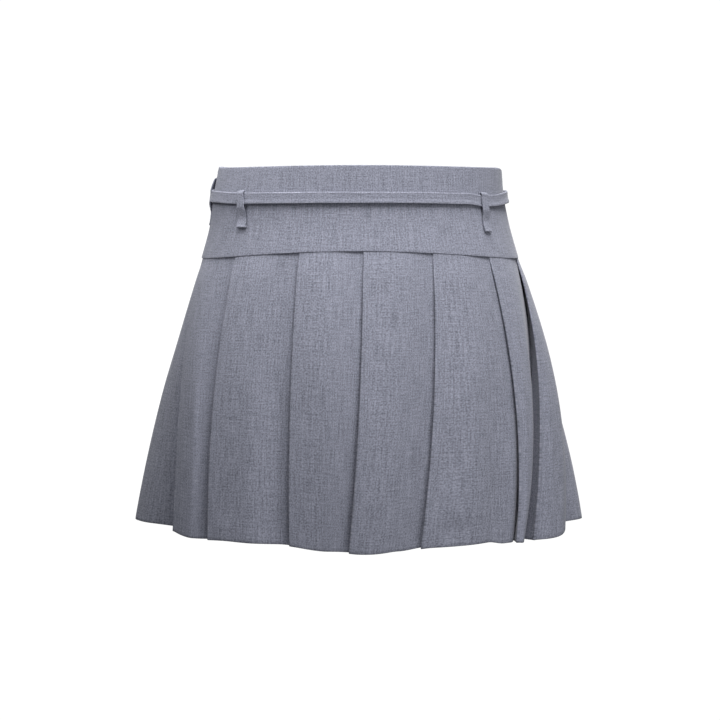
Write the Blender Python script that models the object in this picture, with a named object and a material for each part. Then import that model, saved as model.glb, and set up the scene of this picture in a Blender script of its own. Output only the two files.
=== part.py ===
"""Pleated mini skirt: a shaped two-piece yoke, knife-pleated skirt pieces, a narrow belt in six
loops and a concealed zip in the wearer's left side seam.

Metres, +Z up. The front faces -Y and the wearer's left is +X. The origin is the centre of the
waist opening. A turn is an angle round the body in degrees: 0 at the centre back, growing
towards the wearer's right, 180 at the centre front.
"""
import math
from collections import namedtuple

import bmesh
import bpy
from mathutils import Matrix, Vector

MM = 0.001

# Cloth
CLOTH = 1.0 * MM            # wall of yoke and pleats, with their turnings
GAP = 0.3 * MM              # between pieces that are sewn or lie together
PLY = 1.4 * MM              # from one pressed layer of a pleat to the next

# Form of the body: the yoke's outer face, from the waist edge to the seam above the pleats
Section = namedtuple("Section", "left right depth back side front")
YOKE = (
    # half widths left, right; half depth; height at the back, sides and front
    Section(0.1405, 0.1412, 0.1000, 0.0100, 0.0055, -0.0100),      # waist edge
    Section(0.1448, 0.1425, 0.1030, -0.0136, -0.0168, -0.0330),    # top of the belt
    Section(0.1465, 0.1440, 0.1045, -0.0248, -0.0285, -0.0445),    # foot of the belt
    Section(0.1500, 0.1495, 0.1085, -0.0470, -0.0540, -0.0670),    # below the belt
    Section(0.1580, 0.1580, 0.1150, -0.0711, -0.0838, -0.0920),    # yoke seam
)
BELT_TOP, BELT_FOOT, SEAM = 1, 2, 4         # rows of YOKE
HEM = Section(0.2190, 0.2190, 0.1680, -0.3560, -0.3466, -0.3560)   # middle of the cloth
FLARE = 0.29                # how soon the pleated part spreads below the yoke seam

# Pleats. At the yoke seam each is pressed flat: its fold lies over the next panel by TUCK.
TUCK = 12.0                 # degrees
Pleat = namedtuple("Pleat", "seam fold crest under tuck")
PLEATS = (
    # seam: turn of the fold at the yoke seam. At the hem, (turn, mm out from HEM) of the fold,
    # of the panel's crest, of where it dips below the next fold, and of its inner fold.
    Pleat(-84.0, (-57.0, -2.0), (-50.0, 1.5), (-42.8, -4.0), (-35.0, -6.5)),
    Pleat(-51.0, (-41.6, 2.0), (-31.0, 3.5), (-18.5, -2.5), (-11.0, -4.0)),
    Pleat(-22.0, (-17.6, 2.0), (-10.0, 3.5), (-3.4, -2.5), (4.5, -4.0)),
    Pleat(1.4, (-2.4, 3.0), (6.0, 4.5), (14.6, -2.0), (22.7, -3.5)),
    Pleat(27.0, (15.6, 4.0), (37.0, 5.0), (42.5, -6.0), (43.5, -22.0)),
    Pleat(54.0, (45.0, 4.0), (51.0, 4.0), (55.0, -22.0), (58.0, -50.0)),
    Pleat(83.0, (60.0, -24.0), (68.0, -1.0), (78.0, -15.0), (82.0, -36.0)),
    Pleat(111.0, (84.0, -14.0), (95.0, 4.5), (110.0, -4.0), (116.0, -20.0)),
    Pleat(133.8, (117.0, 1.0), (128.0, 5.0), (143.0, -3.0), (149.0, -16.0)),
    Pleat(156.7, (147.5, 2.0), (157.0, 4.5), (172.5, -3.0), (179.0, -9.0)),
    Pleat(179.5, (175.0, 2.0), (185.0, 4.5), (200.0, -2.5), (207.5, -6.0)),
    Pleat(202.3, (202.0, 2.5), (212.0, 4.5), (228.0, -3.0), (235.0, -10.0)),
    Pleat(225.2, (230.5, 2.0), (241.0, 4.5), (257.0, -3.0), (263.0, -18.0)),
    Pleat(248.0, (262.0, 4.0), (270.0, 4.5), (300.0, -22.0), (307.0, -34.0)),
)
RIGHT_SEAM_PLEAT, LEFT_SEAM_PLEAT = 5, 12   # side seams run down the inner folds of these
LEFT_SEAM = PLEATS[LEFT_SEAM_PLEAT + 1].seam + TUCK - 360.0
RIGHT_SEAM = PLEATS[RIGHT_SEAM_PLEAT + 1].seam + TUCK
SKIRT_LEVELS = 7

# Belt and loops
BELT_THICK = 2.2 * MM
BELT_LAP = 11.0             # degrees that the free end passes the centre front
LOOP_THICK = 1.2 * MM
LOOP_WIDTH = 10.0 * MM
LOOP_ROUTE = (
    # row of YOKE, and whether the loop stands over the belt there
    (0.70, False), (0.88, True), (1.5, True), (2.15, True), (2.4, False), (3.05, False),
)
LOOP_TURNS = {
    "loop_back_left": -53.6,
    "loop_back_right": 60.6,
    "loop_side_left": -93.0,
    "loop_side_right": 103.0,
    "loop_front_left": -139.0,
    "loop_front_right": 139.0,
}

# Zip
TAPE_WIDTH = 20.0 * MM
TAPE_THICK = 0.8 * MM
TAPE_HEAD = 0.08            # row of YOKE where the zip starts
TAPE_FOOT = 0.26            # how far down the pleated part the zip reaches, of its length
TAPE_LEAN = 22.0 * MM       # how fast it leans in there, clear of the inner fold
PLATE = Vector((4.6, 0.6, 7.0)) * MM        # slider plate: across, thick, along
PULL_DROP = 0.27            # row of YOKE, between the waist edge and the belt, of its hinge
PULL_AXIS_OUT = 1.65 * MM   # hinge axis above the cloth
PULL_LENGTH = 13.0 * MM
PULL_THICK = 0.8 * MM
PULL_TOP = 1.9              # half width at the hinge, mm
PULL_SIDES = ((1.9, 3.9), (2.6, 7.5), (2.8, 10.0), (2.5, 11.6), (1.5, 12.6))  # and down its sides
SLOT_HALF, SLOT_END = 1.05 * MM, 3.4 * MM
BRIDGE_HALF = 0.6 * MM

GREY = (0.205, 0.21, 0.255, 1.0)
DARK_GREY = (0.13, 0.135, 0.17, 1.0)
STEEL = (0.5, 0.5, 0.52, 1.0)


# ---------- form ----------

def mix(a, b, k):
    return a + (b - a) * k


def mixed(first, second, k):
    return Section(*(mix(a, b, k) for a, b in zip(first, second)))


def spline(p0, p1, p2, p3, k):
    """Catmull-Rom curve from p1 to p2."""
    return p1 + 0.5 * k * (p2 - p0 + k * (2 * p0 - 5 * p1 + 4 * p2 - p3 + k * (3 * (p1 - p2) + p3 - p0)))


def yoke_section(row):
    """The section at any row of YOKE, between rows too."""
    low = min(int(row), len(YOKE) - 2)
    near = [YOKE[min(max(low + step, 0), len(YOKE) - 1)] for step in (-1, 0, 1, 2)]
    return Section(*(spline(*values, row - low) for values in zip(*near)))


def place(section, turn, out):
    """The point of a section at a turn, moved out along its level normal."""
    angle = math.radians(turn)
    half = section.right if math.sin(angle) > 0 else section.left
    across, deep = math.sin(angle), math.cos(angle)
    normal = Vector((-across / half, deep / section.depth, 0)).normalized()
    end = section.back if deep > 0 else section.front
    height = mix(section.side, end, deep * deep)
    return Vector((-half * across, section.depth * deep, height)) + normal * out


def on_yoke(row, turn, out=0.0):
    return place(yoke_section(row), turn, out)


SEAM_BASE = Section(*(value - CLOTH / 2 - 2 * PLY for value in YOKE[SEAM][:3]), *YOKE[SEAM][3:])


def skirt_section(level):
    """The middle of the innermost layer, from the yoke seam at 0 to the hem at 1."""
    wide = mixed(SEAM_BASE, HEM, level + FLARE * level * (1 - level))
    high = mixed(SEAM_BASE, HEM, level)
    return Section(*wide[:3], *high[3:])


# ---------- solids ----------

def solid(name, outer, inner, colour):
    """A closed wall between two equal grids of points."""
    mesh = bmesh.new()
    rows, columns = len(outer), len(outer[0])
    faces = [[[mesh.verts.new(point) for point in row] for row in grid] for grid in (outer, inner)]

    def quad(*corners):
        mesh.faces.new([faces[side][row][column] for side, row, column in corners])

    for side in (0, 1):
        for row in range(rows - 1):
            for column in range(columns - 1):
                quad((side, row, column), (side, row, column + 1),
                     (side, row + 1, column + 1), (side, row + 1, column))
    for row in (0, rows - 1):
        for column in range(columns - 1):
            quad((0, row, column), (0, row, column + 1), (1, row, column + 1), (1, row, column))
    for column in (0, columns - 1):
        for row in range(rows - 1):
            quad((0, row, column), (0, row + 1, column), (1, row + 1, column), (1, row, column))
    bmesh.ops.recalc_face_normals(mesh, faces=mesh.faces)
    return finish(name, mesh, colour)


def finish(name, mesh, colour, roughness=0.85, metallic=0.0):
    data = bpy.data.meshes.new(name)
    mesh.to_mesh(data)
    mesh.free()
    data.shade_smooth()
    data.set_sharp_from_angle(angle=math.radians(35))
    material = bpy.data.materials.new(name)
    material.use_nodes = True
    shader = material.node_tree.nodes["Principled BSDF"]
    shader.inputs["Base Color"].default_value = colour
    shader.inputs["Roughness"].default_value = roughness
    shader.inputs["Metallic"].default_value = metallic
    data.materials.append(material)
    piece = bpy.data.objects.new(name, data)
    bpy.context.scene.collection.objects.link(piece)
    return piece


def steps(start, end, count):
    return [mix(start, end, k / count) for k in range(count + 1)]


# ---------- yoke ----------

def gap_turn(section):
    """Half the gap between two pieces, in degrees, at a side seam."""
    return math.degrees(GAP / 2 / section.depth)


def yoke(name, start, end, count):
    outer, inner = [], []
    for row in steps(0, SEAM, 8):
        section = yoke_section(row)
        edge = gap_turn(section)
        lift = Vector((0, 0, GAP / 2 if row == SEAM else 0))
        turns = steps(start + edge, end - edge, count)
        outer.append([place(section, turn, 0) + lift for turn in turns])
        inner.append([place(section, turn, -CLOTH) + lift for turn in turns])
    return solid(name, outer, inner, GREY)


# ---------- pleats ----------

def controls(index, level):
    """Fold, crest, under and tuck of a pleat at a level: (turn, out) each."""
    pleat = PLEATS[index % len(PLEATS)]
    lap = 360.0 * (index // len(PLEATS))
    following = PLEATS[(index + 1) % len(PLEATS)]
    next_seam = following.seam + 360.0 * ((index + 1) // len(PLEATS)) - lap
    pressed = (
        (pleat.seam, 1.5 * PLY),
        (pleat.seam + TUCK + 1.0, 2.0 * PLY),
        (next_seam - 1.0, 0.0),
        (next_seam + TUCK, 0.5 * PLY),
    )
    return [
        (mix(top[0], foot[0], level) + lap, mix(top[1], foot[1] * MM, level))
        for top, foot in zip(pressed, (pleat.fold, pleat.crest, pleat.under, pleat.tuck))
    ]


def tip(section, before, fold, after):
    """A rounded fold as two (turn, out) points, for the layers that come in and go out."""
    here, come, go = (place(section, *point) for point in (fold, before, after))
    for point in (here, come, go):
        point.z = 0
    axis = ((here - come).normalized() + (here - go).normalized()).normalized()
    side = Vector((-axis.y, axis.x, 0))
    if side.dot(go - come) < 0:
        side.negate()
    along = place(section, fold[0] + 0.5, fold[1]) - place(section, fold[0] - 0.5, fold[1])
    along.z = 0
    turned = side.dot(along) / along.length_squared * PLY / 2
    raised = side.dot(place(section, fold[0], 1.0) - place(section, fold[0], 0.0)) * PLY / 2
    return (fold[0] - turned, fold[1] - raised), (fold[0] + turned, fold[1] + raised)


def panel(section, level, index):
    """The middle line of one panel, from its fold over its crest to its inner fold."""
    last, this, following = (controls(index + step, level) for step in (-1, 0, 1))
    fold, crest, under, tuck = this
    first = tip(section, last[3], fold, crest)[1]
    end = tip(section, under, tuck, following[0])[0]
    knots = (first, first, crest, under, end, end)
    line = [place(section, *first)]
    for leg, count in ((0, 3), (1, 3), (2, 2)):
        for k in steps(0, 1, count)[1:]:
            line.append(place(section, *(spline(*values, k) for values in zip(*knots[leg:leg + 4]))))
    return line


def back_layer(section, level, index):
    """The middle line of the hidden layer, from a panel's inner fold to the next fold."""
    this, following = (controls(index + step, level) for step in (0, 1))
    start = tip(section, this[2], this[3], following[0])[1]
    end = tip(section, this[3], following[0], following[1])[0]
    return [place(section, *(mix(a, b, k) for a, b in zip(start, end))) for k in (0, 0.5, 1)]


def offset(line, distance):
    """A level line moved sideways, mitred at its corners."""
    moved = []
    for k, point in enumerate(line):
        arms = []
        if k:
            arms.append(point - line[k - 1])
        if k < len(line) - 1:
            arms.append(line[k + 1] - point)
        normals = [Vector((arm.y, -arm.x, 0)).normalized() for arm in arms]
        middle = sum(normals, Vector()).normalized()
        stretch = min(1 / max(middle.dot(normals[0]), 0.1), 1.6)
        moved.append(point + middle * distance * stretch)
    return moved


def pleated(name, first, last):
    """The pleated piece from the hidden layer before panel `first` to the end of panel `last`."""
    outer, inner = [], []
    for level in steps(0, 1, SKIRT_LEVELS - 1):
        section = skirt_section(level)
        line = []
        for index in range(first, last + 1):
            line += back_layer(section, level, index - 1) + panel(section, level, index)
        drop = Vector((0, 0, -GAP / 2 if level == 0 else 0))
        outer.append([point + drop for point in offset(line, -CLOTH / 2)])
        inner.append([point + drop for point in offset(line, CLOTH / 2)])
    return solid(name, outer, inner, GREY)


# ---------- belt and loops ----------

def belt():
    """A strip round the yoke whose free end laps over at the centre front."""
    outer, inner = [], []
    turns = steps(180.0 - 360.0 - BELT_LAP / 2, 180.0 + BELT_LAP / 2, 76)
    for row in steps(BELT_TOP, BELT_FOOT, 2):
        lines = [[], []]
        for turn in turns:
            past = turn - (180.0 - 1.5 * BELT_LAP)
            climb = min(max(past / BELT_LAP, 0), 1)
            rise = (BELT_THICK + GAP) * climb * climb * (3 - 2 * climb)
            for line, out in zip(lines, (GAP + BELT_THICK, GAP)):
                line.append(on_yoke(row, turn, out + rise))
        outer.append(lines[0])
        inner.append(lines[1])
    return solid("belt", outer, inner, GREY)


def loop(name, turn):
    """A flat strip that is sewn above and below the belt and passes over it."""
    over = BELT_THICK + 2 * GAP
    if abs(turn) > 180.0 - 2 * BELT_LAP:
        over += BELT_THICK + GAP
    outer, inner = [], []
    for side in (-1, 0, 1):
        lines = [[], []]
        for row, raised in LOOP_ROUTE:
            out = over if raised else GAP
            width = math.degrees(LOOP_WIDTH / 2 / ring_step(row, turn))
            for line, lift in zip(lines, (LOOP_THICK, 0)):
                line.append(on_yoke(row, turn + side * width, out + lift))
        outer.append(lines[0])
        inner.append(lines[1])
    return solid(name, outer, inner, GREY)


def ring_step(row, turn):
    """Length along the yoke's section for each radian of turn."""
    return (on_yoke(row, turn + 0.5) - on_yoke(row, turn - 0.5)).length / math.radians(1.0)


# ---------- zip ----------

def zip_tape():
    """The zip's closed tape behind the left side seam, from the waist into the pleats."""
    outer, inner = [], []
    half = math.degrees(TAPE_WIDTH / 2 / YOKE[SEAM].depth)
    turns = steps(LEFT_SEAM - half, LEFT_SEAM + half, 6)
    behind = CLOTH + GAP
    for row in [TAPE_HEAD] + steps(0.5, 3.5, 6):
        deep = behind + (2 * PLY + GAP) * max(row - 2.5, 0)
        outer.append([on_yoke(row, turn, -deep) for turn in turns])
        inner.append([on_yoke(row, turn, -deep - TAPE_THICK) for turn in turns])
    for level in steps(0, TAPE_FOOT, 4):
        section = skirt_section(level)
        deep = CLOTH / 2 + 2 * GAP + TAPE_LEAN * level
        outer.append([place(section, turn, -deep) for turn in turns])
        inner.append([place(section, turn, -deep - TAPE_THICK) for turn in turns])
    return solid("zip_tape", outer, inner, DARK_GREY)


def pull_frame():
    """World place of the pull's hinge: x along its axis, y out of the cloth, z up the seam."""
    here = on_yoke(PULL_DROP, LEFT_SEAM)
    up = (on_yoke(PULL_DROP - 0.1, LEFT_SEAM) - on_yoke(PULL_DROP + 0.1, LEFT_SEAM)).normalized()
    across = on_yoke(PULL_DROP, LEFT_SEAM - 1) - on_yoke(PULL_DROP, LEFT_SEAM + 1)
    across = (across - up * across.dot(up)).normalized()
    out = up.cross(across)
    frame = Matrix((across, out, up)).transposed().to_4x4()
    frame.translation = here + out * PULL_AXIS_OUT
    return frame


def box(mesh, low, high):
    corners = bmesh.ops.create_cube(mesh, size=1.0)["verts"]
    for vert in corners:
        vert.co = Vector(mix(a, b, k + 0.5) for a, b, k in zip(low, high, vert.co))


def cutter(name, build):
    """A hidden helper solid for a Boolean."""
    mesh = bmesh.new()
    build(mesh)
    piece = finish(name, mesh, STEEL)
    piece.hide_render = True
    piece.display_type = "WIRE"
    return piece


def combine(piece, helper, operation):
    modifier = piece.modifiers.new(operation.lower(), "BOOLEAN")
    modifier.operation = operation
    modifier.object = helper


def zip_slider(frame):
    """The slider's plate on the cloth, with the bridge that the pull hangs in."""
    mesh = bmesh.new()
    floor = GAP - PULL_AXIS_OUT
    box(mesh, (-PLATE.x / 2, floor, -PLATE.z / 2), (PLATE.x / 2, floor + PLATE.y, PLATE.z / 2))
    plate = finish("zip_slider", mesh, STEEL, 0.35, 1.0)
    head, roof = 0.80 * MM, 1.35 * MM       # underside and top of the bridge above the axis
    reach, leg = 0.9 * MM, 1.5 * MM         # inside and outside of its legs along the seam

    def bridge(mesh):
        outline = ((-leg, floor + PLATE.y / 2), (-leg, head), (-reach, roof), (reach, roof),
                   (leg, head), (leg, floor + PLATE.y / 2), (reach, floor + PLATE.y / 2),
                   (reach, head), (-reach, head), (-reach, floor + PLATE.y / 2))
        rings = [[mesh.verts.new((x, y, z)) for z, y in outline] for x in (-BRIDGE_HALF, BRIDGE_HALF)]
        for ring in rings:
            mesh.faces.new(ring)
        for k in range(len(outline)):
            mesh.faces.new((rings[0][k - 1], rings[0][k], rings[1][k], rings[1][k - 1]))
        bmesh.ops.recalc_face_normals(mesh, faces=mesh.faces)

    helper = cutter("bridge_shape", bridge)
    combine(plate, helper, "UNION")
    for piece in (plate, helper):
        piece.matrix_world = frame
    return plate


def zip_pull(frame):
    """A drop-shaped tab that hangs by its top bar and swings up about it."""
    bar = PULL_THICK / 2
    sides = ((PULL_TOP, -bar / MM), *PULL_SIDES)
    outline = [(x * MM, -down * MM) for x, down in sides] + [(0, -PULL_LENGTH)]
    outline += [(-x * MM, -down * MM) for x, down in reversed(sides)]
    mesh = bmesh.new()
    rings = [[mesh.verts.new((x, y, z)) for x, z in outline] for y in (-bar, bar)]
    for ring in rings:
        mesh.faces.new(ring)
    for k in range(len(outline)):
        mesh.faces.new((rings[0][k - 1], rings[0][k], rings[1][k], rings[1][k - 1]))
    bmesh.ops.recalc_face_normals(mesh, faces=mesh.faces)
    tab = finish("zip_pull", mesh, STEEL, 0.35, 1.0)
    slot = cutter("slot_shape", lambda shape: box(
        shape, (-SLOT_HALF, -PULL_THICK, -SLOT_END), (SLOT_HALF, PULL_THICK, -bar)))
    combine(tab, slot, "DIFFERENCE")
    for piece in (tab, slot):
        piece.matrix_world = frame
    return tab


def main():
    for item in list(bpy.data.objects):
        bpy.data.objects.remove(item, do_unlink=True)
    yoke("yoke_back", LEFT_SEAM, RIGHT_SEAM, 34)
    yoke("yoke_front", RIGHT_SEAM, LEFT_SEAM + 360.0, 28)
    pleated("skirt_back", LEFT_SEAM_PLEAT + 1, len(PLEATS) + RIGHT_SEAM_PLEAT)
    pleated("skirt_front", RIGHT_SEAM_PLEAT + 1, LEFT_SEAM_PLEAT)
    belt()
    for name, turn in LOOP_TURNS.items():
        loop(name, turn)
    zip_tape()
    frame = pull_frame()
    zip_slider(frame)
    zip_pull(frame)


main()
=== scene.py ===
"""Looks of a pleated mini skirt: grey suiting, a belt in its loops, edge stitching and a side zip.

Metres, +Z up; the front faces -Y and the wearer's left is +X. A turn is an angle round the body in
degrees: 0 at the centre back, growing towards the wearer's right. An out is a distance from the
body's form along its level normal.
"""
import math
from collections import namedtuple

import bmesh
import bpy
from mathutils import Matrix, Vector

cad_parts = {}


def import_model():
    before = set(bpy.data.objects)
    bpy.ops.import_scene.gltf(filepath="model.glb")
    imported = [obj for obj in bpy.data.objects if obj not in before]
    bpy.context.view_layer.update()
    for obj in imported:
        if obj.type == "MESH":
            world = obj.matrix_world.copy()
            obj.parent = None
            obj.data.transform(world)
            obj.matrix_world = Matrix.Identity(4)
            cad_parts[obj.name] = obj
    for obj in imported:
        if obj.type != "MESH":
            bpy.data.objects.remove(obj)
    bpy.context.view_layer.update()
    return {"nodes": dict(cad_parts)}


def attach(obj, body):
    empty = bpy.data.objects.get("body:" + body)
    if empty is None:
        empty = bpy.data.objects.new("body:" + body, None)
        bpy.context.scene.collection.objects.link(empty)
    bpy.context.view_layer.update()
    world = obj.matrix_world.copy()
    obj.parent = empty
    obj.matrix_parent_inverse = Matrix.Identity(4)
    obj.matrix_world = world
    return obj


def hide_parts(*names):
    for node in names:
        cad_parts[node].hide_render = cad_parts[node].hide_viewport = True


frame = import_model()

MM = 0.001

# Cloth
CLOTH = 0.45 * MM           # one layer of suiting
PLY_SEAM = 0.65 * MM        # from layer to layer of a pleat, in the yoke seam
PLY_TOP = 1.15 * MM         # pressed just below it
PLY_HEM = 2.6 * MM          # and relaxed at the hem
HEM_TURN = 14.0 * MM        # depth of the turned-up hem
HEM_ROLL = 0.27 * MM        # radius of its fold
WAIST_ROLL = 0.6 * MM       # radius of the fold at the waist
WAIST_TURN = 12.0 * MM
SEAM_RAISE = 0.3 * MM       # how far the pleats come out to meet the yoke at the seam
SEAM_ROLL = 7.0 * MM        # and over what height
SEAM_TAIL = ((6.0 * MM, 2.4 * MM), (1.5 * MM, 0.6 * MM))    # pleats behind the yoke: up, sunk
HEM_SHARES = (0.1, 0.35, 0.65, 1.0)                         # of the hem's turning, from its fold
SIDE_ROLL = ((0.0, 0.9), (0.15, 0.45), (0.45, 0.1))         # yoke at a side seam: degrees, mm in
SIDE_EDGE = 1.2                                             # degrees to where it lies flat
YOKE_ROUND, BELT_ROUND = 0.135, 0.13                        # mean radii, to lay the cloth flat

# Form of the body, as in the CAD model: outer face of the yoke from the waist edge to its seam
Section = namedtuple("Section", "left right depth back side front")
YOKE = (
    Section(0.1405, 0.1412, 0.1000, 0.0118, 0.0065, -0.0100),      # waist edge
    Section(0.1448, 0.1425, 0.1030, -0.0136, -0.0168, -0.0330),    # top of the belt
    Section(0.1465, 0.1440, 0.1045, -0.0248, -0.0285, -0.0445),    # foot of the belt
    Section(0.1500, 0.1495, 0.1085, -0.0470, -0.0540, -0.0670),    # below the belt
    Section(0.1580, 0.1580, 0.1150, -0.0711, -0.0838, -0.0920),    # yoke seam
)
BELT_TOP, BELT_FOOT, SEAM = 1, 2, 4
HEM = Section(0.2190, 0.2190, 0.1680, -0.3560, -0.3466, -0.3560)
FLARE = 0.29
DIP_TURN, DIP_WIDTH, DIP_DEPTH = 100.0, 14.0, 0.009     # where the waist edge slips a little

# Pleats
TUCK = 12.0                 # degrees that a pressed fold lies over the next panel
Pleat = namedtuple("Pleat", "seam bow fold crest under tuck")
PLEATS = (
    # seam: turn of the fold at the yoke seam; bow: how far it swings out between seam and hem;
    # at the hem, (turn, mm out) of the fold, the crest, the dip below the next fold, the inner fold
    Pleat(-84.0, 5.0, (-57.0, -2.0), (-50.0, 1.5), (-43.2, -6.0), (-35.0, -8.0)),
    Pleat(-51.0, 0.0, (-41.6, 2.0), (-31.0, 3.5), (-18.8, -4.5), (-11.0, -5.5)),
    Pleat(-22.0, 0.0, (-17.6, 1.8), (-9.0, 2.8), (-3.6, -3.2), (4.5, -5.4)),
    Pleat(1.4, 0.7, (-2.4, 5.0), (6.0, 5.0), (14.2, -4.0), (22.7, -5.0)),
    Pleat(27.0, 0.5, (15.6, 4.0), (29.0, 6.0), (42.5, -3.0), (45.5, -13.0)),
    Pleat(54.0, 2.3, (43.6, 3.2), (45.6, 4.0), (48.5, -26.0), (55.0, -46.0)),
    Pleat(83.0, 0.0, (55.5, -13.0), (66.0, -1.0), (78.0, -15.0), (82.0, -36.0)),
    Pleat(111.0, 0.0, (84.0, -14.0), (95.0, 4.5), (110.0, -4.0), (116.0, -20.0)),
    Pleat(133.8, 0.0, (117.0, 1.0), (128.0, 5.0), (143.0, -3.0), (149.0, -16.0)),
    Pleat(156.7, 0.0, (147.5, 2.0), (157.0, 4.5), (172.5, -3.0), (179.0, -9.0)),
    Pleat(179.5, 0.0, (175.0, 2.0), (185.0, 4.5), (200.0, -2.5), (207.5, -6.0)),
    Pleat(202.3, 0.0, (202.0, 2.5), (212.0, 4.5), (228.0, -3.0), (235.0, -10.0)),
    Pleat(225.2, 0.0, (230.5, 2.0), (241.0, 4.5), (257.0, -3.0), (263.0, -18.0)),
    Pleat(248.0, 0.0, (262.0, 4.0), (270.0, 4.5), (300.0, -22.0), (307.0, -34.0)),
)
PANEL_WIDTH, HIDDEN_WIDTH = 0.097, 0.030        # of the flat cloth, for each pleat
PLEAT_LENGTH = 0.272
Crease = namedtuple("Crease", "pleat across level end_across end_level wide high")
CREASES = (
    # soft ridges and troughs of the panels: place across the panel and down its length at both
    # ends, half width and height in mm
    Crease(0, 0.30, 0.30, 0.40, 1.05, 8.0, 0.9),
    Crease(1, 0.36, 0.25, 0.40, 1.05, 9.0, 1.8),
    Crease(1, 0.59, 0.30, 0.61, 1.05, 6.5, -1.6),
    Crease(1, 0.12, 0.45, 0.16, 0.95, 9.0, -0.7),
    Crease(2, 0.20, 0.35, 0.24, 1.05, 12.0, -0.8),
    Crease(2, 0.60, 0.15, 0.55, 0.60, 9.0, 0.5),
    Crease(3, 0.43, 0.35, 0.41, 1.05, 6.0, -0.9),
    Crease(3, 0.08, 0.30, 0.07, 1.05, 6.0, 1.4),
    Crease(4, 0.25, 0.20, 0.23, 0.95, 12.0, 1.4),
    Crease(4, 0.50, 0.35, 0.48, 1.05, 9.0, -1.8),
    Crease(4, 0.68, 0.45, 0.69, 1.05, 6.0, 1.7),
    Crease(5, 0.13, 0.10, 0.14, 1.05, 4.0, 1.1),
    Crease(6, 0.10, 0.35, 0.13, 1.05, 6.0, 1.6),
    Crease(6, 0.30, 0.08, 0.52, 0.55, 5.0, -1.4),
    Crease(7, 0.20, 0.30, 0.25, 1.05, 8.0, 1.2),
    Crease(7, 0.55, 0.40, 0.50, 0.95, 9.0, -1.1),
    Crease(8, 0.35, 0.25, 0.42, 1.05, 9.0, 1.0),
    Crease(8, 0.66, 0.50, 0.62, 1.05, 6.0, -1.3),
    Crease(9, 0.15, 0.45, 0.20, 1.05, 8.0, -0.8),
    Crease(9, 0.50, 0.20, 0.55, 0.85, 9.0, 1.2),
    Crease(10, 0.30, 0.35, 0.27, 1.05, 11.0, 1.0),
    Crease(10, 0.62, 0.45, 0.66, 1.05, 7.0, -1.2),
    Crease(11, 0.45, 0.25, 0.40, 0.95, 8.0, -1.0),
    Crease(11, 0.12, 0.50, 0.10, 1.05, 6.0, 1.1),
    Crease(12, 0.35, 0.30, 0.30, 1.05, 10.0, 1.3),
    Crease(12, 0.62, 0.20, 0.58, 0.90, 7.0, -1.0),
    Crease(13, 0.25, 0.25, 0.30, 1.05, 7.0, 1.4),
    Crease(13, 0.48, 0.35, 0.52, 1.05, 6.0, -1.2),
)
BELLY = (
    # turn, and mm that the pleats swell out there halfway down
    (-90.0, 0.0), (-48.0, 2.0), (-28.0, 0.0), (-8.0, 6.0), (12.0, 1.0), (35.0, 0.0), (60.0, 2.0),
    (82.0, 5.0), (104.0, 5.0), (130.0, 2.0), (180.0, 3.0), (230.0, 1.0), (270.0, 0.0),
)
HEM_LIFT = (
    # turn, and mm that the hem hangs higher there
    (-90.0, 0.0), (-60.0, 3.5), (-48.0, 0.5), (-34.0, 3.5), (-20.0, 4.0), (-8.0, 0.0), (2.0, -2.0),
    (10.0, 0.0), (18.0, 2.5), (34.0, 2.5), (40.0, -1.0), (47.0, -2.0), (53.0, -6.0), (62.0, -6.0),
    (76.0, 0.0), (270.0, 0.0),
)
RIGHT_SEAM_PLEAT, LEFT_SEAM_PLEAT = 5, 12
LEFT_SEAM = PLEATS[LEFT_SEAM_PLEAT + 1].seam + TUCK - 360.0
RIGHT_SEAM = PLEATS[RIGHT_SEAM_PLEAT + 1].seam + TUCK

# Belt, loops and zip
BELT_THICK = 2.1 * MM
BELT_HALF = 5.6 * MM        # half of its width
BELT_CURL = 0.7 * MM        # how far its foot turns out
BELT_EDGES = (0.2 * MM, 1.1 * MM)           # rounding of its top edge and of its foot
END_NARROW, END_ROUND = 0.16, 0.5           # share that its ends narrow, and over what degrees
BELT_GAP = 0.5 * MM
GAP = 0.3 * MM
BELT_LAP = 11.0             # degrees that the free end passes the centre front
BELT_LIFT = (
    # turn, mm that the belt stands off, mm that it hangs lower
    (-180.0, 0.6, 0.0), (-139.0, 0.2, 0.3), (-112.0, 0.7, -0.5), (-93.0, 0.3, -0.8), (-75.0, 0.3, -0.3),
    (-53.6, 0.1, 0.6), (-20.0, 0.4, 0.2), (20.0, 0.4, 0.2), (45.0, 0.3, 0.9), (58.0, 0.1, 3.4),
    (66.0, 0.5, 3.0), (82.0, 1.6, 0.6), (96.0, 1.8, 0.0), (112.0, 0.5, 0.2), (139.0, 0.2, 0.3),
    (180.0, 0.6, 0.0),
)
LOOP_WIDTH, LOOP_THICK = 9.2 * MM, 1.5 * MM
Loop = namedtuple("Loop", "turn lean twist head lift foot spread")
LOOPS = {
    # turn; degrees that its foot lies to the side; twist of its head, degrees; rows of YOKE that
    # its head lies lower; mm that its foot lifts; row of YOKE of its foot; share its foot is wider
    "loop_back_left": Loop(-52.5, 1.2, 5.0, 0.1, 1.5, 2.93, 0.3),
    "loop_back_right": Loop(56.8, -0.4, -5.0, 0.2, 1.1, 3.07, 0.0),
    "loop_side_left": Loop(-99.0, 0.5, 8.0, -0.32, 0.5, 2.9, 0.0),
    "loop_side_right": Loop(112.0, -0.6, -6.0, 0.0, 0.6, 2.95, 0.0),
    "loop_front_left": Loop(-139.0, 0.8, 7.0, 0.0, 0.9, 2.9, 0.1),
    "loop_front_right": Loop(139.0, -0.5, -9.0, 0.05, 0.5, 2.95, 0.0),
}
STITCH_LONG, STITCH_STEP, STITCH_THICK = 1.9 * MM, 2.6 * MM, 0.17 * MM
STITCH_ROWS = (-0.75, 0.75)                 # across the belt
STITCH_RINGS = ((-1.0, 0.35), (-0.7, 0.95), (0.0, 1.15), (0.7, 0.95), (1.0, 0.35))  # along, swell
STITCH_SIDES = 6
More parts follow.
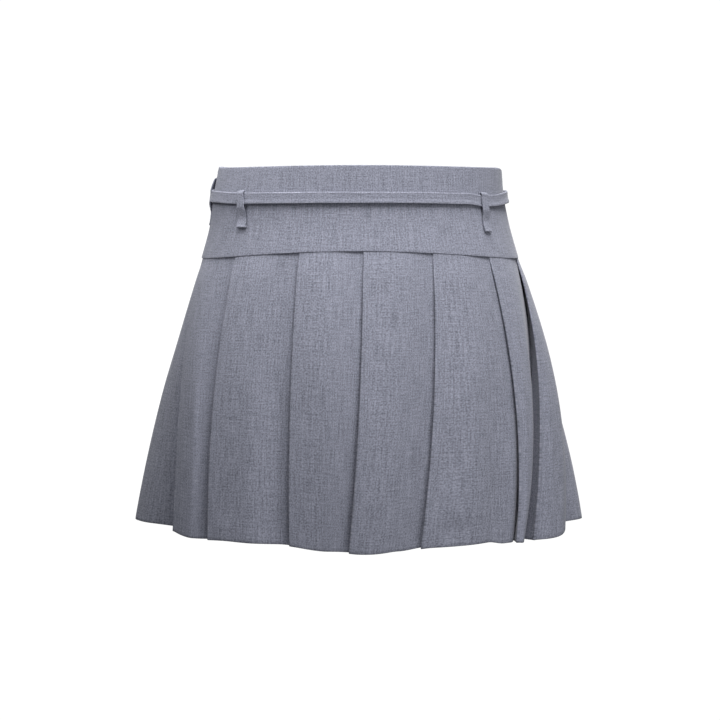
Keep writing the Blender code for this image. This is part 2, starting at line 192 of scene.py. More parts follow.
TAPE_WIDTH, TAPE_THICK = 20.0 * MM, 0.5 * MM
TAPE_HEAD, TAPE_FOOT, TAPE_LEAN = 0.08, 0.26, 22.0 * MM
TAPE_BEHIND = 1.5 * MM       # how far it lies behind the pleats at their top
COIL_RADIUS, COIL_STEP, WIRE = 1.1 * MM, 1.3 * MM, 0.32 * MM
COIL_POINTS, WIRE_SIDES = 10, 6             # of each turn, and round the wire


# ---------- form ----------

def mix(a, b, k):
    return a + (b - a) * k


def steps(start, end, count):
    return [mix(start, end, k / count) for k in range(count + 1)]


def ease(x):
    x = min(max(x, 0.0), 1.0)
    return x * x * (3 - 2 * x)


def spline(p0, p1, p2, p3, k):
    """Catmull-Rom curve from p1 to p2."""
    return p1 + 0.5 * k * (p2 - p0 + k * (2 * p0 - 5 * p1 + 4 * p2 - p3 + k * (3 * (p1 - p2) + p3 - p0)))


def yoke_section(row):
    low = min(max(int(row), 0), len(YOKE) - 2)
    near = [YOKE[min(max(low + step, 0), len(YOKE) - 1)] for step in (-1, 0, 1, 2)]
    return Section(*(spline(*values, row - low) for values in zip(*near)))


def place(section, turn, out):
    """The point of a section at a turn, moved out along its level normal."""
    angle = math.radians(turn)
    across, deep = math.sin(angle), math.cos(angle)
    half = section.right if across > 0 else section.left
    slope, rise = across / half, deep / section.depth
    reach = out / math.hypot(slope, rise)
    height = mix(section.side, section.back if deep > 0 else section.front, deep * deep)
    return Vector((-half * across - slope * reach, section.depth * deep + rise * reach, height))


def on_yoke(row, turn, out=0.0):
    return place(yoke_section(row), turn, out)


SEAM_BASE = Section(*(value - CLOTH / 2 - 2 * PLY_TOP for value in YOKE[SEAM][:3]), *YOKE[SEAM][3:])


def skirt_section(level):
    spread = level + FLARE * level * (1 - level)
    wide = [mix(a, b, spread) for a, b in zip(SEAM_BASE[:3], HEM[:3])]
    high = [mix(a, b, level) for a, b in zip(SEAM_BASE[3:], HEM[3:])]
    return Section(*wide, *high)


def table_at(table, turn):
    """The other columns of a table at a turn."""
    turn = (turn - table[0][0]) % 360.0 + table[0][0]
    for low, high in zip(table, table[1:]):
        if turn <= high[0]:
            k = ease((turn - low[0]) / (high[0] - low[0]))
            return [mix(a, b, k) for a, b in zip(low[1:], high[1:])]
    return table[-1][1:]


def belly(turn, level):
    """How far the pleats swell out at a turn."""
    return table_at(BELLY, turn)[0] * MM * math.sin(math.pi * level)


def hem_lift(turn, level):
    """How far the cloth is drawn up at a turn, in full at the hem."""
    return table_at(HEM_LIFT, turn)[0] * MM * level * level


# ---------- meshes ----------

def mesh_piece(name, mesh, flat=()):
    """A smooth piece of a mesh, with the flat cloth coordinates of its points in metres as UVs."""
    if flat:
        layer = mesh.uv_layers.new(name="cloth")
        for loop, corner in zip(mesh.loops, layer.data):
            corner.uv = flat[loop.vertex_index]
    mesh.shade_smooth()
    piece = bpy.data.objects.new(name, mesh)
    bpy.context.scene.collection.objects.link(piece)
    return piece


def cloth_piece(name, grid, coords, thickness=CLOTH):
    """A shell through a grid of points, with its flat cloth coordinates in metres as UVs."""
    rows, columns = len(grid), len(grid[0])
    points = [point for row in grid for point in row]
    flat = [pair for row in coords for pair in row]
    faces = [
        (r * columns + c, r * columns + c + 1, (r + 1) * columns + c + 1, (r + 1) * columns + c)
        for r in range(rows - 1) for c in range(columns - 1)
    ]
    mesh = bpy.data.meshes.new(name)
    mesh.from_pydata(points, [], faces)
    piece = mesh_piece(name, mesh, flat)
    wall = piece.modifiers.new("cloth", "SOLIDIFY")
    wall.thickness = thickness
    wall.offset = 0.0
    return piece


# ---------- pleats ----------

def crease_height(index, across, level):
    """How far the creases raise a panel at a place, in metres."""
    height = 0.0
    for crease in CREASES:
        if crease.pleat != index % len(PLEATS):
            continue
        along = (level - crease.level) / (crease.end_level - crease.level)
        if not 0 < along < 1:
            continue
        middle = mix(crease.across, crease.end_across, along)
        away = (across - middle) * PANEL_WIDTH / (crease.wide * MM)
        fade = ease(along / 0.35) * ease((1 - along) / 0.08)
        height += crease.high * MM * fade * math.exp(-away * away)
    return height


def ply(level):
    return mix(PLY_TOP, PLY_HEM, level) - (PLY_TOP - PLY_SEAM) * (1 - ease(level / 0.09))


def controls(index, level):
    """Fold, crest, under and tuck of a pleat at a level: (turn, out) each."""
    pleat = PLEATS[index % len(PLEATS)]
    lap = 360.0 * (index // len(PLEATS))
    following = PLEATS[(index + 1) % len(PLEATS)]
    next_seam = following.seam + 360.0 * ((index + 1) // len(PLEATS)) - lap
    layer = ply(level)
    pressed = (
        (pleat.seam, 1.5 * layer),
        (pleat.seam + TUCK + 1.0, 2.0 * layer),
        (next_seam - 1.0, 0.0),
        (next_seam + TUCK, 0.5 * layer),
    )
    swing = 4 * level * (1 - level)
    bows = (pleat.bow, pleat.bow, following.bow, following.bow)
    return [
        (mix(top[0], foot[0], level) + bow * swing + lap, mix(top[1], foot[1] * MM, level))
        for top, foot, bow in zip(pressed, (pleat.fold, pleat.crest, pleat.under, pleat.tuck), bows)
    ]


def fold_arc(section, level, before, fold, after, count=5):
    """A rounded fold as (turn, out) points, from the layer that comes in to the one that goes."""
    here, come, go = (place(section, *point).xy for point in (fold, before, after))
    axis = ((here - come).normalized() + (here - go).normalized()).normalized()
    side = Vector((-axis.y, axis.x))
    if side.dot(go - come) < 0:
        side.negate()
    along = (place(section, fold[0] + 0.5, fold[1]) - place(section, fold[0] - 0.5, fold[1])).xy
    outward = (place(section, fold[0], 1.0) - place(section, fold[0], 0.0)).xy
    radius = ply(level) / 2
    points = []
    for k in range(count + 1):
        angle = math.pi * k / count
        move = radius * (math.sin(angle) * axis - math.cos(angle) * side)
        points.append((fold[0] + move.dot(along) / along.length_squared, fold[1] + move.dot(outward)))
    return points


def pleat_line(section, level, index):
    """(turn, out, cloth) of hidden layer, fold, panel and inner fold of one pleat."""
    last, this, following = (controls(index + step, level) for step in (-1, 0, 1))
    fold, crest, under, tuck = this
    inner_start = fold_arc(section, level, last[2], last[3], fold)
    outer = fold_arc(section, level, last[3], fold, crest)
    inner = fold_arc(section, level, under, tuck, following[0])
    start, end = inner_start[-1], outer[0]
    cloth = index * (PANEL_WIDTH + HIDDEN_WIDTH)
    line = []
    for k in steps(0, 1, 8)[:-1]:
        line.append((mix(start[0], end[0], k), mix(start[1], end[1], k), cloth + HIDDEN_WIDTH * k))
    cloth += HIDDEN_WIDTH
    for point in outer[:-1]:
        line.append((*point, cloth))
    knots = (outer[-1], outer[-1], crest, under, inner[0], inner[0])
    parts = ((0, 12, 0.0, 0.3), (1, 18, 0.3, 0.7), (2, 8, 0.7, 1.0))
    for leg, count, near, far in parts:
        for k in steps(0, 1, count)[:-1]:
            turn, out = (spline(*values, k) for values in zip(*knots[leg:leg + 4]))
            across = mix(near, far, k)
            line.append((turn, out + crease_height(index, across, level), cloth + PANEL_WIDTH * across))
    for point in inner[:-1]:
        line.append((*point, cloth + PANEL_WIDTH))
    return line


def sideways(points, distance):
    """A level line of points moved towards the cloth's right side, or its wrong side if negative."""
    moved = []
    for k, point in enumerate(points):
        along = points[min(k + 1, len(points) - 1)] - points[max(k - 1, 0)]
        moved.append(point + Vector((along.y, -along.x, 0)).normalized() * distance)
    return moved


def pleat_levels():
    near = [0.0, 0.0015, 0.003, 0.005, 0.008, 0.012, 0.018, 0.026]
    return near + steps(0.038, 0.93, 52) + steps(0.94, 1.0, 6)[:-1]


def pleated(name, node, first, last):
    """Pleated cloth from below the yoke's edge down to the turned-up hem."""
    grid, coords = [], []

    def add_row(level, rise=0.0, raised=0.0, wrong=0.0, cloth_drop=0.0):
        section = skirt_section(level)
        points, flat = [], []
        for index in range(first, last + 1):
            for turn, out, cloth in pleat_line(section, level, index):
                point = place(section, turn, out + belly(turn, level) + raised)
                points.append(point + Vector((0, 0, rise + hem_lift(turn, level))))
                flat.append((cloth, -level * PLEAT_LENGTH - cloth_drop))
        grid.append(sideways(points, -wrong) if wrong else points)
        coords.append(flat)

    for rise, sunk in SEAM_TAIL:
        add_row(0.0, rise, -sunk)
    for level in pleat_levels():
        add_row(level, raised=SEAM_RAISE * math.exp(-level * PLEAT_LENGTH / SEAM_ROLL))
    for angle in steps(0, math.pi, 4):
        add_row(1.0, -HEM_ROLL * math.sin(angle), 0, HEM_ROLL * (1 - math.cos(angle)),
                HEM_ROLL * math.sin(angle))
    for turned in HEM_SHARES:
        add_row(1.0 - turned * HEM_TURN / PLEAT_LENGTH, 0, 0, 2 * HEM_ROLL + 0.1 * MM, 0.0)
    piece = cloth_piece(name, grid, coords)
    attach(piece, "skirt")
    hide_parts(node)
    return piece


# ---------- yoke ----------

def waist_slip(turn, row):
    """How far the waist edge slips down at the right side."""
    away = (turn - DIP_TURN) / DIP_WIDTH
    return DIP_DEPTH * math.exp(-away * away) * ease(1 - row)


def yoke(name, node, start, end, count):
    """Shaped yoke with its waist edge turned in and its lower edge rolled into the seam."""
    turns = [start + away for away, sink in SIDE_ROLL]
    turns += steps(start + SIDE_EDGE, end - SIDE_EDGE, count)
    turns += [end - away for away, sink in reversed(SIDE_ROLL)]
    sinks = [sink for away, sink in SIDE_ROLL]
    sinks += [0.0] * (count + 1) + sinks[::-1]
    rows = []                               # (row of YOKE, mm in, mm up)
    for turned in (WAIST_TURN / MM, 8.0, 4.0, 1.5):
        rows.append((0, 2 * WAIST_ROLL / MM, -turned))
    for angle in steps(math.pi, 0, 6):
        rows.append((0, WAIST_ROLL / MM * (1 - math.cos(angle)), WAIST_ROLL / MM * (math.sin(angle) - 1)))
    rows += [(row, 0, 0) for row in steps(0.1, 3.94, 46)]
    rows += [(3.965, 0.04, 0), (3.985, 0.15, 0), (3.997, 0.42, 0), (3.99, 0.65, 0)]
    grid, coords = [], []
    for row, inward, up in rows:
        section = yoke_section(row)
        line, flat = [], []
        for turn, sink in zip(turns, sinks):
            out = -CLOTH / 2 - (inward + sink) * MM
            point = place(section, turn, out)
            point.z += up * MM - waist_slip(turn, row)
            line.append(point)
            flat.append((math.radians(turn) * YOKE_ROUND, point.z))
        grid.append(line)
        coords.append(flat)
    piece = cloth_piece(name, grid, coords)
    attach(piece, "skirt")
    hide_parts(node)
    return piece


# ---------- belt and loops ----------

def belt_lap(turn):
    """How far the free end is raised over the fixed one."""
    return (BELT_THICK + GAP) * ease((turn - (180.0 - 1.5 * BELT_LAP)) / BELT_LAP)


def belt_point(turn, across, out):
    """A point of the belt: across is -1 at its top edge and 1 at its foot."""
    lift, low = table_at(BELT_LIFT, turn)
    row = mix(BELT_TOP, BELT_FOOT, (across + 1) / 2)
    curl = BELT_CURL * max(across, 0) ** 2
    point = on_yoke(row, turn, BELT_GAP + out + lift * MM + belt_lap(turn) + curl)
    point.z -= low * MM
    return point


def strip_profile(half_width, thick, groove=0.75, sink=0.1 * MM, edges=(0.35 * MM, 0.35 * MM)):
    """Outline (across, out) of a narrow double strip with rounded edges and a sewn-down line."""
    face = []
    for k in steps(-1, 1, 28):
        room = min(half_width * (1 - abs(k)) / edges[k > 0], 1.0)
        crown = thick / 2 * math.sqrt(room * (2 - room))
        dent = sink * math.exp(-(((abs(k) - groove) * half_width / (0.35 * MM)) ** 2))
        face.append((k, crown - dent))
    back = [(k, -out) for k, out in reversed(face[1:-1:4])]
    return face + back


def tube_piece(name, rings, coords):
    """A solid through equal rings of points, closed at both ends."""
    count = len(rings[0])
    points = [point for ring in rings for point in ring]
    flat = [pair for ring in coords for pair in ring]
    faces = []
    for r in range(len(rings) - 1):
        for c in range(count):
            after = (c + 1) % count
            faces.append((r * count + c, r * count + after, (r + 1) * count + after, (r + 1) * count + c))
    faces.append(tuple(range(count)))
    faces.append(tuple(range((len(rings) - 1) * count, len(rings) * count))[::-1])
    mesh = bpy.data.meshes.new(name)
    mesh.from_pydata(points, [], faces)
    turned = bmesh.new()
    turned.from_mesh(mesh)
    bmesh.ops.recalc_face_normals(turned, faces=turned.faces)
    turned.to_mesh(mesh)
    turned.free()
    return mesh_piece(name, mesh, flat)


def belt():
    profile = strip_profile(BELT_HALF, BELT_THICK, edges=BELT_EDGES)
    rings, coords = [], []
    turns = steps(-180.0 - BELT_LAP / 2, 180.0 + BELT_LAP / 2, 300)
    for turn in turns:
        end = min(turn - turns[0], turns[-1] - turn)
        narrow = 1 - END_NARROW * (1 - min(end / END_ROUND, 1)) ** 2
        rings.append([belt_point(turn, across * narrow, out + BELT_THICK / 2) for across, out in profile])
        coords.append([(across * BELT_HALF, math.radians(turn) * BELT_ROUND) for across, out in profile])
    piece = tube_piece("belt_cloth", rings, coords)
    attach(piece, "skirt")
    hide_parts("belt")
    return piece


def stitch_row(verts, faces, spots):
    """Adds a row of stitches: spots are (middle, along, out) of each."""
    for middle, along, out in spots:
        side = along.cross(out).normalized()
        base = len(verts)
        for reach, swell in STITCH_RINGS:
            centre = middle + along * (reach * STITCH_LONG / 2) - out * (STITCH_THICK * 0.6 * reach * reach)
            for angle in steps(0, 2 * math.pi, STITCH_SIDES)[:-1]:
                verts.append(centre + STITCH_THICK * swell * (side * math.cos(angle) + out * math.sin(angle)))
        for ring in range(len(STITCH_RINGS) - 1):
            low = base + ring * STITCH_SIDES
            high = low + STITCH_SIDES
            for k in range(STITCH_SIDES):
                after = (k + 1) % STITCH_SIDES
                faces.append((low + k, low + after, high + after, high + k))


def thread_piece(name, verts, faces):
    mesh = bpy.data.meshes.new(name)
    mesh.from_pydata(verts, [], faces)
    piece = mesh_piece(name, mesh)
    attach(piece, "skirt")
    return piece


def belt_stitches():
    """Edge stitching along both sides of the belt."""
    verts, faces = [], []
    start, end = -180.0 - BELT_LAP / 2 + 0.6, 180.0 + BELT_LAP / 2 - 0.6
    for across in STITCH_ROWS:
        spots, turn = [], start
        while turn < end:
            here = belt_point(turn, across, BELT_THICK)
            ahead = belt_point(turn + 0.2, across, BELT_THICK)
            along = (ahead - here).normalized()
            out = (belt_point(turn, across, BELT_THICK + MM) - here).normalized()
            spots.append((here - out * 0.07 * MM, along, out))
            turn += STITCH_STEP / (ahead - here).length * 0.2
        stitch_row(verts, faces, spots)
    return thread_piece("belt_stitches", verts, faces)


def loop_frame(loop, row, out):
    """Middle of a loop at a row of YOKE, with its directions across, down and out."""
    lean = loop.lean * (row - 1)
    turn = loop.turn + lean
    base = on_yoke(row, turn, out)
    down = (on_yoke(row + 0.05, turn, out) - on_yoke(row - 0.05, turn, out)).normalized()
    across = (on_yoke(row, turn + 0.5, out) - on_yoke(row, turn - 0.5, out)).normalized()
    outward = down.cross(across).normalized()
    if outward.dot(on_yoke(row, turn, out + MM) - base) < 0:
        outward.negate()
    return base, across, down, outward


def loop_route(loop):
    """(row, out) of a loop's middle, from its folded head over the belt to its folded foot."""
    lift, low = table_at(BELT_LIFT, loop.turn)
    over = BELT_GAP + BELT_THICK + (lift + 0.5) * MM + belt_lap(loop.turn) + LOOP_THICK / 2
    near = LOOP_THICK / 2 + 0.15 * MM
    drop = low * 0.05
    lift_out = loop.lift * MM
    head = (
        (0.99 + loop.head, near * 0.8),
        (0.90 + loop.head, near),
        (0.86 + loop.head, near + 0.5 * MM),
        (0.90 + loop.head, over * 0.72),
        (1.04 + loop.head * 0.6, over),
    )
    bridge = (
        (1.3, over),
        (1.6, over),
        (1.95 + drop, over),
        (2.16 + drop, over * 0.94),
        (2.34 + drop, over * 0.62),
        (2.5 + drop, near + 0.5 * MM),
        (2.68 + drop / 2, near + 0.25 * MM),
    )
    foot = (
        (loop.foot - 0.07, near + lift_out * 0.6),
        (loop.foot, near + lift_out),
        (loop.foot + 0.02, near + lift_out * 0.7),
        (loop.foot - 0.06, near * 0.6),
    )
    return head + bridge + foot


def belt_loop(name, loop):
    profile = strip_profile(LOOP_WIDTH / 2, LOOP_THICK, groove=0.66, sink=0.09 * MM)
    route = loop_route(loop)
    knots = [route[0], *route, route[-1]]
    path = []
    for leg in range(len(route) - 1):
        for k in steps(0, 1, 5)[:-1]:
            path.append([spline(*values, k) for values in zip(*knots[leg:leg + 4])])
    path.append(route[-1])
    rings, coords, length = [], [], 0.0
    middles = [loop_frame(loop, *point) for point in path]
    for k, (base, across, down, outward) in enumerate(middles):
        ahead = middles[min(k + 1, len(middles) - 1)][0] - middles[max(k - 1, 0)][0]
        along = (ahead - across * ahead.dot(across)).normalized()
        face = across.cross(along)
        if k and face.dot(last_face) < 0:
            face.negate()
        elif not k and face.dot(outward) > 0:
            face.negate()
        last_face = face
        twist = math.radians(loop.twist) * math.exp(-((path[k][0] - 1.0) / 0.22) ** 2)
        side = across * math.cos(twist) + face * math.sin(twist)
        normal = face * math.cos(twist) - across * math.sin(twist)
        length += ahead.length / 2
        half = LOOP_WIDTH / 2 * (1 + loop.spread * ease(path[k][0] - 2.0))
        rings.append([base + side * (w * half) + normal * t for w, t in profile])
        coords.append([(w * LOOP_WIDTH / 2, -length) for w, t in profile])
    piece = tube_piece(name + "_cloth", rings, coords)
    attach(piece, "skirt")
    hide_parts(name)
    return piece


# ---------- zip ----------

def zip_depth(row):
    return CLOTH + GAP + (2.8 * MM + GAP) * max(row - 2.5, 0) + 1.3 * MM


def zip_point(row, turn):
    """A point of the tape; past the yoke seam, rows go on down the pleats, one for their length."""
    if row < SEAM:
        return on_yoke(row, turn, -zip_depth(row))
    level = row - SEAM
    return place(skirt_section(level), turn, -CLOTH / 2 - TAPE_BEHIND - TAPE_LEAN * level)


def zip_rows():
    return [TAPE_HEAD] + steps(0.5, 3.5, 14) + [SEAM + level for level in steps(0.02, TAPE_FOOT, 8)]


def zip_tape():
    """The zip's two tapes, woven, closed along the middle."""
    grid, coords = [], []
    half = math.degrees(TAPE_WIDTH / 2 / YOKE[SEAM].depth)
    turns = steps(LEFT_SEAM - half, LEFT_SEAM + half, 24)
    for row in zip_rows():
        line = [zip_point(row, turn) for turn in turns]
        grid.append(line)
        coords.append([
            (math.radians(turn) * YOKE[SEAM].depth, point.z) for turn, point in zip(turns, line)])
    piece = cloth_piece("zip_tape_cloth", grid, coords, TAPE_THICK)
    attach(piece, "skirt")
    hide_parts("zip_tape")
    return piece


def zip_coil():
    """The interlocked coil on the inside of the tape."""
    line = [zip_point(row, LEFT_SEAM) for row in zip_rows()]
    lengths = [0.0]
    for here, ahead in zip(line, line[1:]):
        lengths.append(lengths[-1] + (ahead - here).length)
    inward = Vector((-1.0, 0.25, 0.0)).normalized()
    across = Vector((0.25, 1.0, 0.0)).normalized()
    wide, deep = 1.3 * COIL_RADIUS, 0.45 * COIL_RADIUS
    points, radials, leg = [], [], 0
    for travelled in steps(0, lengths[-1], int(lengths[-1] / COIL_STEP * COIL_POINTS)):
        while leg < len(line) - 2 and lengths[leg + 1] < travelled:
            leg += 1
        share = (travelled - lengths[leg]) / (lengths[leg + 1] - lengths[leg])
        angle = 2 * math.pi * travelled / COIL_STEP
        base = line[leg].lerp(line[leg + 1], share) + inward * (TAPE_THICK / 2 + WIRE + deep)
        radial = across * (wide * math.cos(angle)) + inward * (deep * math.sin(angle))
        radials.append(radial.normalized())
        points.append(base + radial)
    around = steps(0, 2 * math.pi, WIRE_SIDES)[:-1]
    rings, coords = [], []
    for k, (point, radial) in enumerate(zip(points, radials)):
        along = (points[min(k + 1, len(points) - 1)] - points[max(k - 1, 0)]).normalized()
        side = along.cross(radial).normalized()
        rings.append([point + WIRE * (side * math.cos(a) + side.cross(along) * math.sin(a)) for a in around])
        coords.append([(WIRE * a, k * COIL_STEP / COIL_POINTS) for a in around])
    piece = tube_piece("zip_coil", rings, coords)
    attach(piece, "skirt")
    return piece


# ---------- materials ----------

class Value:
    """A shader socket whose arithmetic adds Math nodes."""

    def __init__(self, shader, socket):
        self.shader, self.socket = shader, socket

    def math(self, operation, *others, clamp=False):
        sockets = dict(enumerate((self, *others)))
        return self.shader.node("ShaderNodeMath", {"operation": operation, "use_clamp": clamp}, sockets)

    def __add__(self, other):
        return self.math("ADD", other)

    def __radd__(self, other):
        return self.math("ADD", other)

    def __sub__(self, other):
        return self.math("SUBTRACT", other)

    def __rsub__(self, other):
        return (self * -1.0).math("ADD", other)

    def __mul__(self, other):
        return self.math("MULTIPLY", other)

    def __rmul__(self, other):
        return self.math("MULTIPLY", other)


class Shader:
    """A material's nodes round one Principled BSDF."""

    def __init__(self, name, **finish):
        self.material = bpy.data.materials.new(name)
        self.material.use_nodes = True
        self.tree = self.material.node_tree
        self.bsdf = self.tree.nodes["Principled BSDF"]
        for socket, value in finish.items():
            self.feed(self.bsdf.inputs[socket.replace("_", " ")], value)

    def feed(self, socket, value):
        if isinstance(value, Value):
            self.tree.links.new(value.socket, socket)
        else:
            socket.default_value = value

    def node(self, kind, settings=None, sockets=None, output=0):
        made = self.tree.nodes.new(kind)
        for key, value in (settings or {}).items():
            if key == "stops":
                ramp = made.color_ramp
                for element, (position, colour) in zip(tuple(ramp.elements), (value[0], value[-1])):
                    element.position, element.color = position, colour
                for position, colour in value[1:-1]:
                    ramp.elements.new(position).color = colour
            else:
                setattr(made, key, value)
        for key, value in (sockets or {}).items():
            self.feed(made.inputs[key], value)
        return Value(self, made.outputs[output])

    def set(self, socket, value):
        self.feed(self.bsdf.inputs[socket], value)


def suiting(name, light, dark, hem_line=False):
    """Plain weave of mixed yarns: slubs down the warp, fainter ones along the weft."""
    shader = Shader(name, Roughness=0.86)
    shader.set("Sheen Weight", 0.15)
    shader.set("Sheen Roughness", 0.5)
    shader.set("Specular IOR Level", 0.25)
    cloth = shader.node("ShaderNodeUVMap", {"uv_map": "cloth"})

    def yarns(across, along, shift, detail=1.0):
        """Streaks of colour, mm wide and mm long."""
        stretched = shader.node("ShaderNodeMapping", {}, {
            "Vector": cloth, "Scale": (1 / (across * MM), 1 / (along * MM), 1.0),
            "Location": (shift, shift * 0.7, 0.0)})
        return shader.node("ShaderNodeTexNoise", {"noise_dimensions": "2D"}, {
            "Vector": stretched, "Scale": 1.0, "Detail": detail, "Roughness": 0.6}) - 0.5

    def threads(direction):
        """Ridges of the single yarns, 0.5 mm apart."""
        return shader.node("ShaderNodeTexWave", {"wave_type": "BANDS", "bands_direction": direction}, {
            "Vector": cloth, "Scale": 100.0, "Distortion": 1.2, "Detail": 1.0})

    slubs = yarns(1.1, 26.0, 1.0) * 0.75 + yarns(2.6, 45.0, 4.0) * 0.22
    wefts = yarns(18.0, 1.2, 7.0) * 0.58
    flecks = yarns(1.25, 1.6, 3.0) * 1.4
    tone = 0.5 + (slubs + wefts + flecks) * 0.75
    shader.set("Base Color", shader.node(
        "ShaderNodeValToRGB", {"stops": ((0.0, dark), (1.0, light))}, {"Fac": tone}))
    weave = threads("X") * 0.5 + threads("Y") * 0.5 + tone * 0.3
    if hem_line:
        height = shader.node("ShaderNodeSeparateXYZ", {}, {"Vector": cloth}, output=1)
        away = (height + PLEAT_LENGTH - HEM_TURN).math("ABSOLUTE") * (1 / (1.6 * MM))
        weave = weave - (1.0 - away).math("MAXIMUM", 0.0) * 1.6
    shader.set("Normal", shader.node("ShaderNodeBump", {}, {
        "Height": weave, "Strength": 0.07, "Distance": 0.0002}))
    return shader.material


def thread(name, colour):
    shader = Shader(name, Roughness=0.6)
    place_on = shader.node("ShaderNodeTexCoord", output=3)
    ply_twist = shader.node("ShaderNodeTexNoise", {}, {"Vector": place_on, "Scale": 4000.0, "Detail": 1.0})
    shader.set("Base Color", shader.node("ShaderNodeValToRGB", {"stops": (
        (0.3, tuple(0.75 * c for c in colour[:3]) + (1,)), (0.7, colour))}, {"Fac": ply_twist}))
    return shader.material


def tape_weave(name, colour):
    """Fine herringbone of a zip tape."""
    shader = Shader(name, Roughness=0.8)
    cloth = shader.node("ShaderNodeUVMap", {"uv_map": "cloth"})
    ribs = shader.node("ShaderNodeTexWave", {"bands_direction": "DIAGONAL"}, {
        "Vector": cloth, "Scale": 180.0, "Distortion": 1.0})
    shader.set("Base Color", shader.node("ShaderNodeValToRGB", {"stops": (
        (0.0, tuple(0.8 * c for c in colour[:3]) + (1,)), (1.0, colour))}, {"Fac": ribs}))
    shader.set("Normal", shader.node("ShaderNodeBump", {}, {
        "Height": ribs, "Strength": 0.35, "Distance": 0.0002}))
    return shader.material


def lacquered_metal(name, colour):
    """Die-cast zinc under grey lacquer, slightly uneven and scuffed."""
    shader = Shader(name, Metallic=0.85)
    spot = shader.node("ShaderNodeTexCoord", output=3)
    cloudy = shader.node("ShaderNodeTexNoise", {}, {"Vector": spot, "Scale": 700.0, "Detail": 4.0})
    shader.set("Base Color", shader.node("ShaderNodeValToRGB", {"stops": (
        (0.35, tuple(0.7 * c for c in colour[:3]) + (1,)), (0.65, colour))}, {"Fac": cloudy}))
    shader.set("Roughness", 0.28 + cloudy * 0.2)
    shader.set("Normal", shader.node("ShaderNodeBump", {}, {
        "Height": cloudy, "Strength": 0.15, "Distance": 0.0001}))
    return shader.material


def dress(piece, material):
    if not piece.material_slots:
        piece.data.materials.append(material)
    for slot in piece.material_slots:
        slot.material = material


# ---------- stage ----------

CAMERA_FAR, CAMERA_LIFT = 3.7, 5.0
AIM = Vector((0.0, 0.0, -0.1864))
FRAME_WIDTH = 0.72
SKY_LOW, SKY_HIGH = 0.02, 0.45       # strength of the soft light from below and from above
GROUND_WHITE = 1.05


def camera():
    data = bpy.data.cameras.new("camera")
    data.sensor_width = 36.0
    data.lens = data.sensor_width * CAMERA_FAR / FRAME_WIDTH
    eye = bpy.data.objects.new("camera", data)
    bpy.context.scene.collection.objects.link(eye)
    lift = math.radians(CAMERA_LIFT)
    back = Vector((0.0, math.cos(lift), math.sin(lift)))
    eye.location = AIM + back * CAMERA_FAR
    eye.rotation_euler = back.to_track_quat("Z", "Y").to_euler()
    bpy.context.scene.camera = eye


def softbox(name, azimuth, height, distance, size, watts):
    """A square area light that faces the skirt; azimuth 0 is the centre back, growing to -X."""
    data = bpy.data.lights.new(name, "AREA")
    data.size = size
    data.energy = watts
    lamp = bpy.data.objects.new(name, data)
    bpy.context.scene.collection.objects.link(lamp)
    turn, lift = math.radians(azimuth), math.radians(height)
    way = Vector((-math.sin(turn) * math.cos(lift), math.cos(turn) * math.cos(lift), math.sin(lift)))
    lamp.location = AIM + way * distance
    lamp.rotation_euler = way.to_track_quat("Z", "Y").to_euler()
    lamp.visible_camera = False


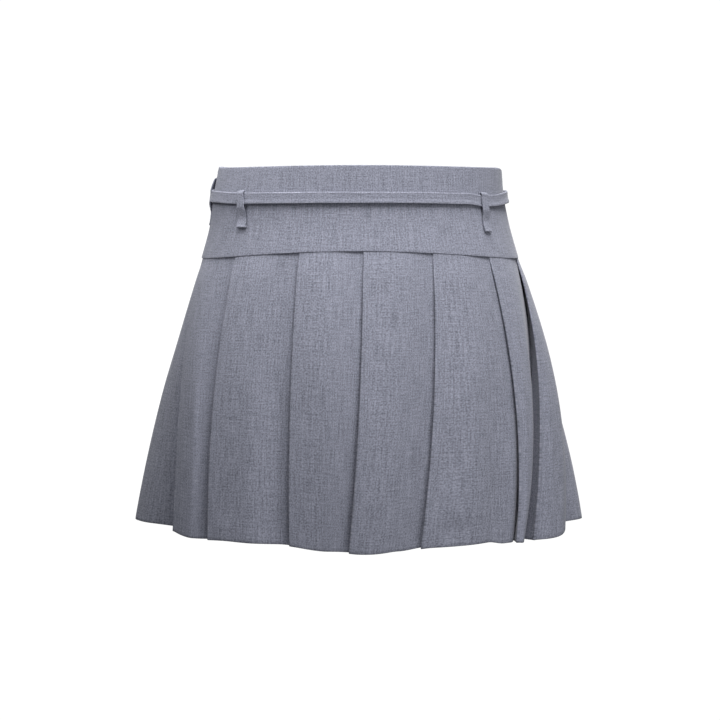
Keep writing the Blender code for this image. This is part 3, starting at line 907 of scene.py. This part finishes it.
def world():
    made = bpy.data.worlds.new("studio")
    bpy.context.scene.world = made
    made.use_nodes = True
    tree = made.node_tree
    tree.nodes.clear()
    ray = tree.nodes.new("ShaderNodeLightPath")
    soft = tree.nodes.new("ShaderNodeBackground")
    soft.inputs["Color"].default_value = (0.95, 0.97, 1.0, 1.0)
    around = tree.nodes.new("ShaderNodeTexCoord")
    height = tree.nodes.new("ShaderNodeSeparateXYZ")
    strength = tree.nodes.new("ShaderNodeMapRange")
    strength.inputs["From Min"].default_value = -1.0
    strength.inputs["To Min"].default_value = SKY_LOW
    strength.inputs["To Max"].default_value = SKY_HIGH
    tree.links.new(around.outputs["Generated"], height.inputs[0])
    tree.links.new(height.outputs["Z"], strength.inputs["Value"])
    tree.links.new(strength.outputs[0], soft.inputs["Strength"])
    white = tree.nodes.new("ShaderNodeBackground")
    white.inputs["Color"].default_value = (1.0, 1.0, 1.0, 1.0)
    white.inputs["Strength"].default_value = GROUND_WHITE
    both = tree.nodes.new("ShaderNodeMixShader")
    out = tree.nodes.new("ShaderNodeOutputWorld")
    tree.links.new(ray.outputs["Is Camera Ray"], both.inputs["Fac"])
    tree.links.new(soft.outputs[0], both.inputs[1])
    tree.links.new(white.outputs[0], both.inputs[2])
    tree.links.new(both.outputs[0], out.inputs["Surface"])


def main():
    bpy.context.scene.view_settings.view_transform = "Standard"
    light, dark = (0.335, 0.345, 0.42, 1), (0.09, 0.094, 0.121, 1)
    cloth = suiting("suiting", light, dark)
    pleat_cloth = suiting("pleat_suiting", light, dark, hem_line=True)
    yarn = thread("sewing_thread", (0.2, 0.205, 0.25, 1))
    tape_cloth = tape_weave("zip_tape_weave", (0.1, 0.104, 0.13, 1))
    metal = lacquered_metal("grey_lacquered_zinc", (0.42, 0.43, 0.47, 1))

    back = pleated("skirt_back_cloth", "skirt_back", LEFT_SEAM_PLEAT + 1, len(PLEATS) + RIGHT_SEAM_PLEAT)
    front = pleated("skirt_front_cloth", "skirt_front", RIGHT_SEAM_PLEAT + 1, LEFT_SEAM_PLEAT)
    for piece in (back, front):
        dress(piece, pleat_cloth)
    yoke_back = yoke("yoke_back_cloth", "yoke_back", LEFT_SEAM, RIGHT_SEAM, 150)
    yoke_front = yoke("yoke_front_cloth", "yoke_front", RIGHT_SEAM, LEFT_SEAM + 360.0, 130)
    belt_cloth = belt()
    loops = [belt_loop(name, loop) for name, loop in LOOPS.items()]
    for piece in (yoke_back, yoke_front, belt_cloth, *loops):
        dress(piece, cloth)
    dress(belt_stitches(), yarn)
    tape = zip_tape()
    dress(tape, tape_cloth)
    dress(zip_coil(), tape_cloth)
    for name in ("zip_slider", "zip_pull"):
        dress(frame["nodes"][name], metal)

    world()
    softbox("key", 24.0, 66.0, 1.15, 0.6, 16.5)
    softbox("fill", 30.0, 12.0, 3.0, 1.6, 13.8)
    softbox("floor_bounce", 25.0, -35.0, 1.2, 0.8, 1.2)
    softbox("left_rim", -70.0, 50.0, 0.5, 0.3, 0.9)
    softbox("front_key", 165.0, 60.0, 1.3, 0.8, 15.0)
    camera()


main()
